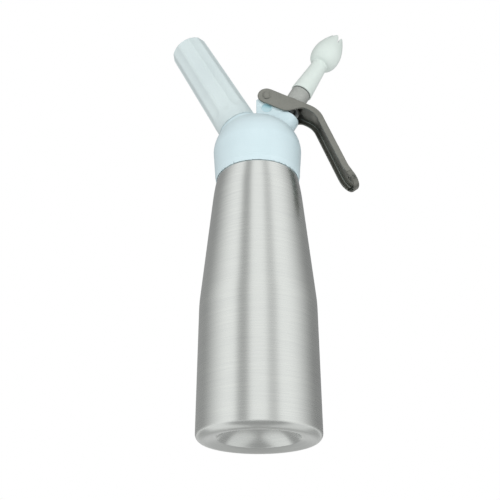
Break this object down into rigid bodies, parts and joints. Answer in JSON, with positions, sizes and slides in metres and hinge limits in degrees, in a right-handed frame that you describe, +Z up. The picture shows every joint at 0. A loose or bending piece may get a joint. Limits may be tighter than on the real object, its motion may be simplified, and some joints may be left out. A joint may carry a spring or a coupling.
{
  "type": "whipped cream dispenser",
  "caption": "Aluminium bottle with a domed screw-on head, slanted charger holder, hand lever and tulip nozzle.",
  "frame": {"origin": "centre of the ring that the bottle stands on", "axes": "+Z up along the bottle, +X towards the nozzle and the lever, -X towards the charger holder"},
  "size_m": [0.1424, 0.0794, 0.33],
  "materials": {
    "brushed_aluminium": "fine horizontal brushing",
    "head_lacquer": "satin lacquer",
    "holder_plastic": "satin moulded",
    "tip_plastic": "satin moulded",
    "white_plastic": "turned",
    "pressed_steel": "tumbled after pressing",
    "turned_steel": "turned",
    "blasted_steel": "bead blasted",
    "bright_steel": "polished",
    "spring_steel": "drawn wire",
    "charger_steel": "zinc plated",
    "brass": "turned",
    "grey_silicone": "moulded",
    "black_rubber": "moulded"
  },
  "bodies": {
    "bottle": {"bottle": "brushed_aluminium"},
    "gasket": {"head_gasket": "grey_silicone"},
    "head": {"head": "head_lacquer", "inlet_insert": "turned_steel", "inlet_washer": "bright_steel", "inlet_nut": "turned_steel", "piercing_pin": "turned_steel", "charger_gasket": "black_rubber", "check_valve": "black_rubber", "valve_bush": "white_plastic", "stem_o_ring": "black_rubber", "valve_spring": "spring_steel", "lever_pin": "pressed_steel"},
    "charger": {"charger": "charger_steel", "charger_seal": "bright_steel"},
    "holder": {"charger_holder": "holder_plastic", "holder_insert": "brass"},
    "lever": {"lever": "pressed_steel"},
    "valve": {"valve_stem": "turned_steel", "valve_seal": "black_rubber", "valve_washer": "bright_steel", "valve_nut": "turned_steel", "tip_adapter": "blasted_steel"},
    "nozzle_seal": {"tip_seal": "black_rubber"},
    "nozzle": {"decorating_tip": "tip_plastic"}
  },
  "joints": [
    {"name": "head_lift", "type": "slide", "parent": "bottle", "child": "gasket", "axis": [0, 0, 1], "range_m": [0, 0.01]},
    {"name": "head_turn", "type": "hinge", "parent": "gasket", "child": "head", "pos_m": [0, 0, 0.206], "axis": [0, 0, 1], "range_deg": [0, 720]},
    {"name": "holder_draw", "type": "slide", "parent": "head", "child": "charger", "axis": [-0.4679, 0, 0.8838], "range_m": [0, 0.012]},
    {"name": "holder_turn", "type": "hinge", "parent": "charger", "child": "holder", "pos_m": [0, 0, 0.212], "axis": [-0.4679, 0, 0.8838], "range_deg": [0, 1080]},
    {"name": "lever_squeeze", "type": "hinge", "parent": "head", "child": "lever", "pos_m": [0.00725, 0, 0.26155], "axis": [0, 1, 0], "range_deg": [0, 10.5], "stiffness_Nm_per_rad": 1.05, "springref_deg": -10.31},
    {"name": "stem_press", "type": "slide", "parent": "head", "child": "valve", "axis": [-0.4894, 0, -0.8721], "range_m": [0, 0.0035], "deforming": ["valve_spring"]},
    {"name": "tip_lift", "type": "slide", "parent": "valve", "child": "nozzle_seal", "axis": [0.4894, 0, 0.8721], "range_m": [0, 0.0105]},
    {"name": "tip_turn", "type": "hinge", "parent": "nozzle_seal", "child": "nozzle", "pos_m": [0, 0, 0.21], "axis": [0.4894, 0, 0.8721], "range_deg": [0, 1080]}
  ],
  "couplings": [
    {"joint": "head_lift", "follows": "head_turn", "m_per_rad": 0.0007957},
    {"joint": "holder_turn", "follows": "holder_draw", "rad_per_m": 1570.8},
    {"joint": "stem_press", "follows": "lever_squeeze", "m_per_rad": 0.0189},
    {"joint": "tip_lift", "follows": "tip_turn", "m_per_rad": 0.000557}
  ]
}
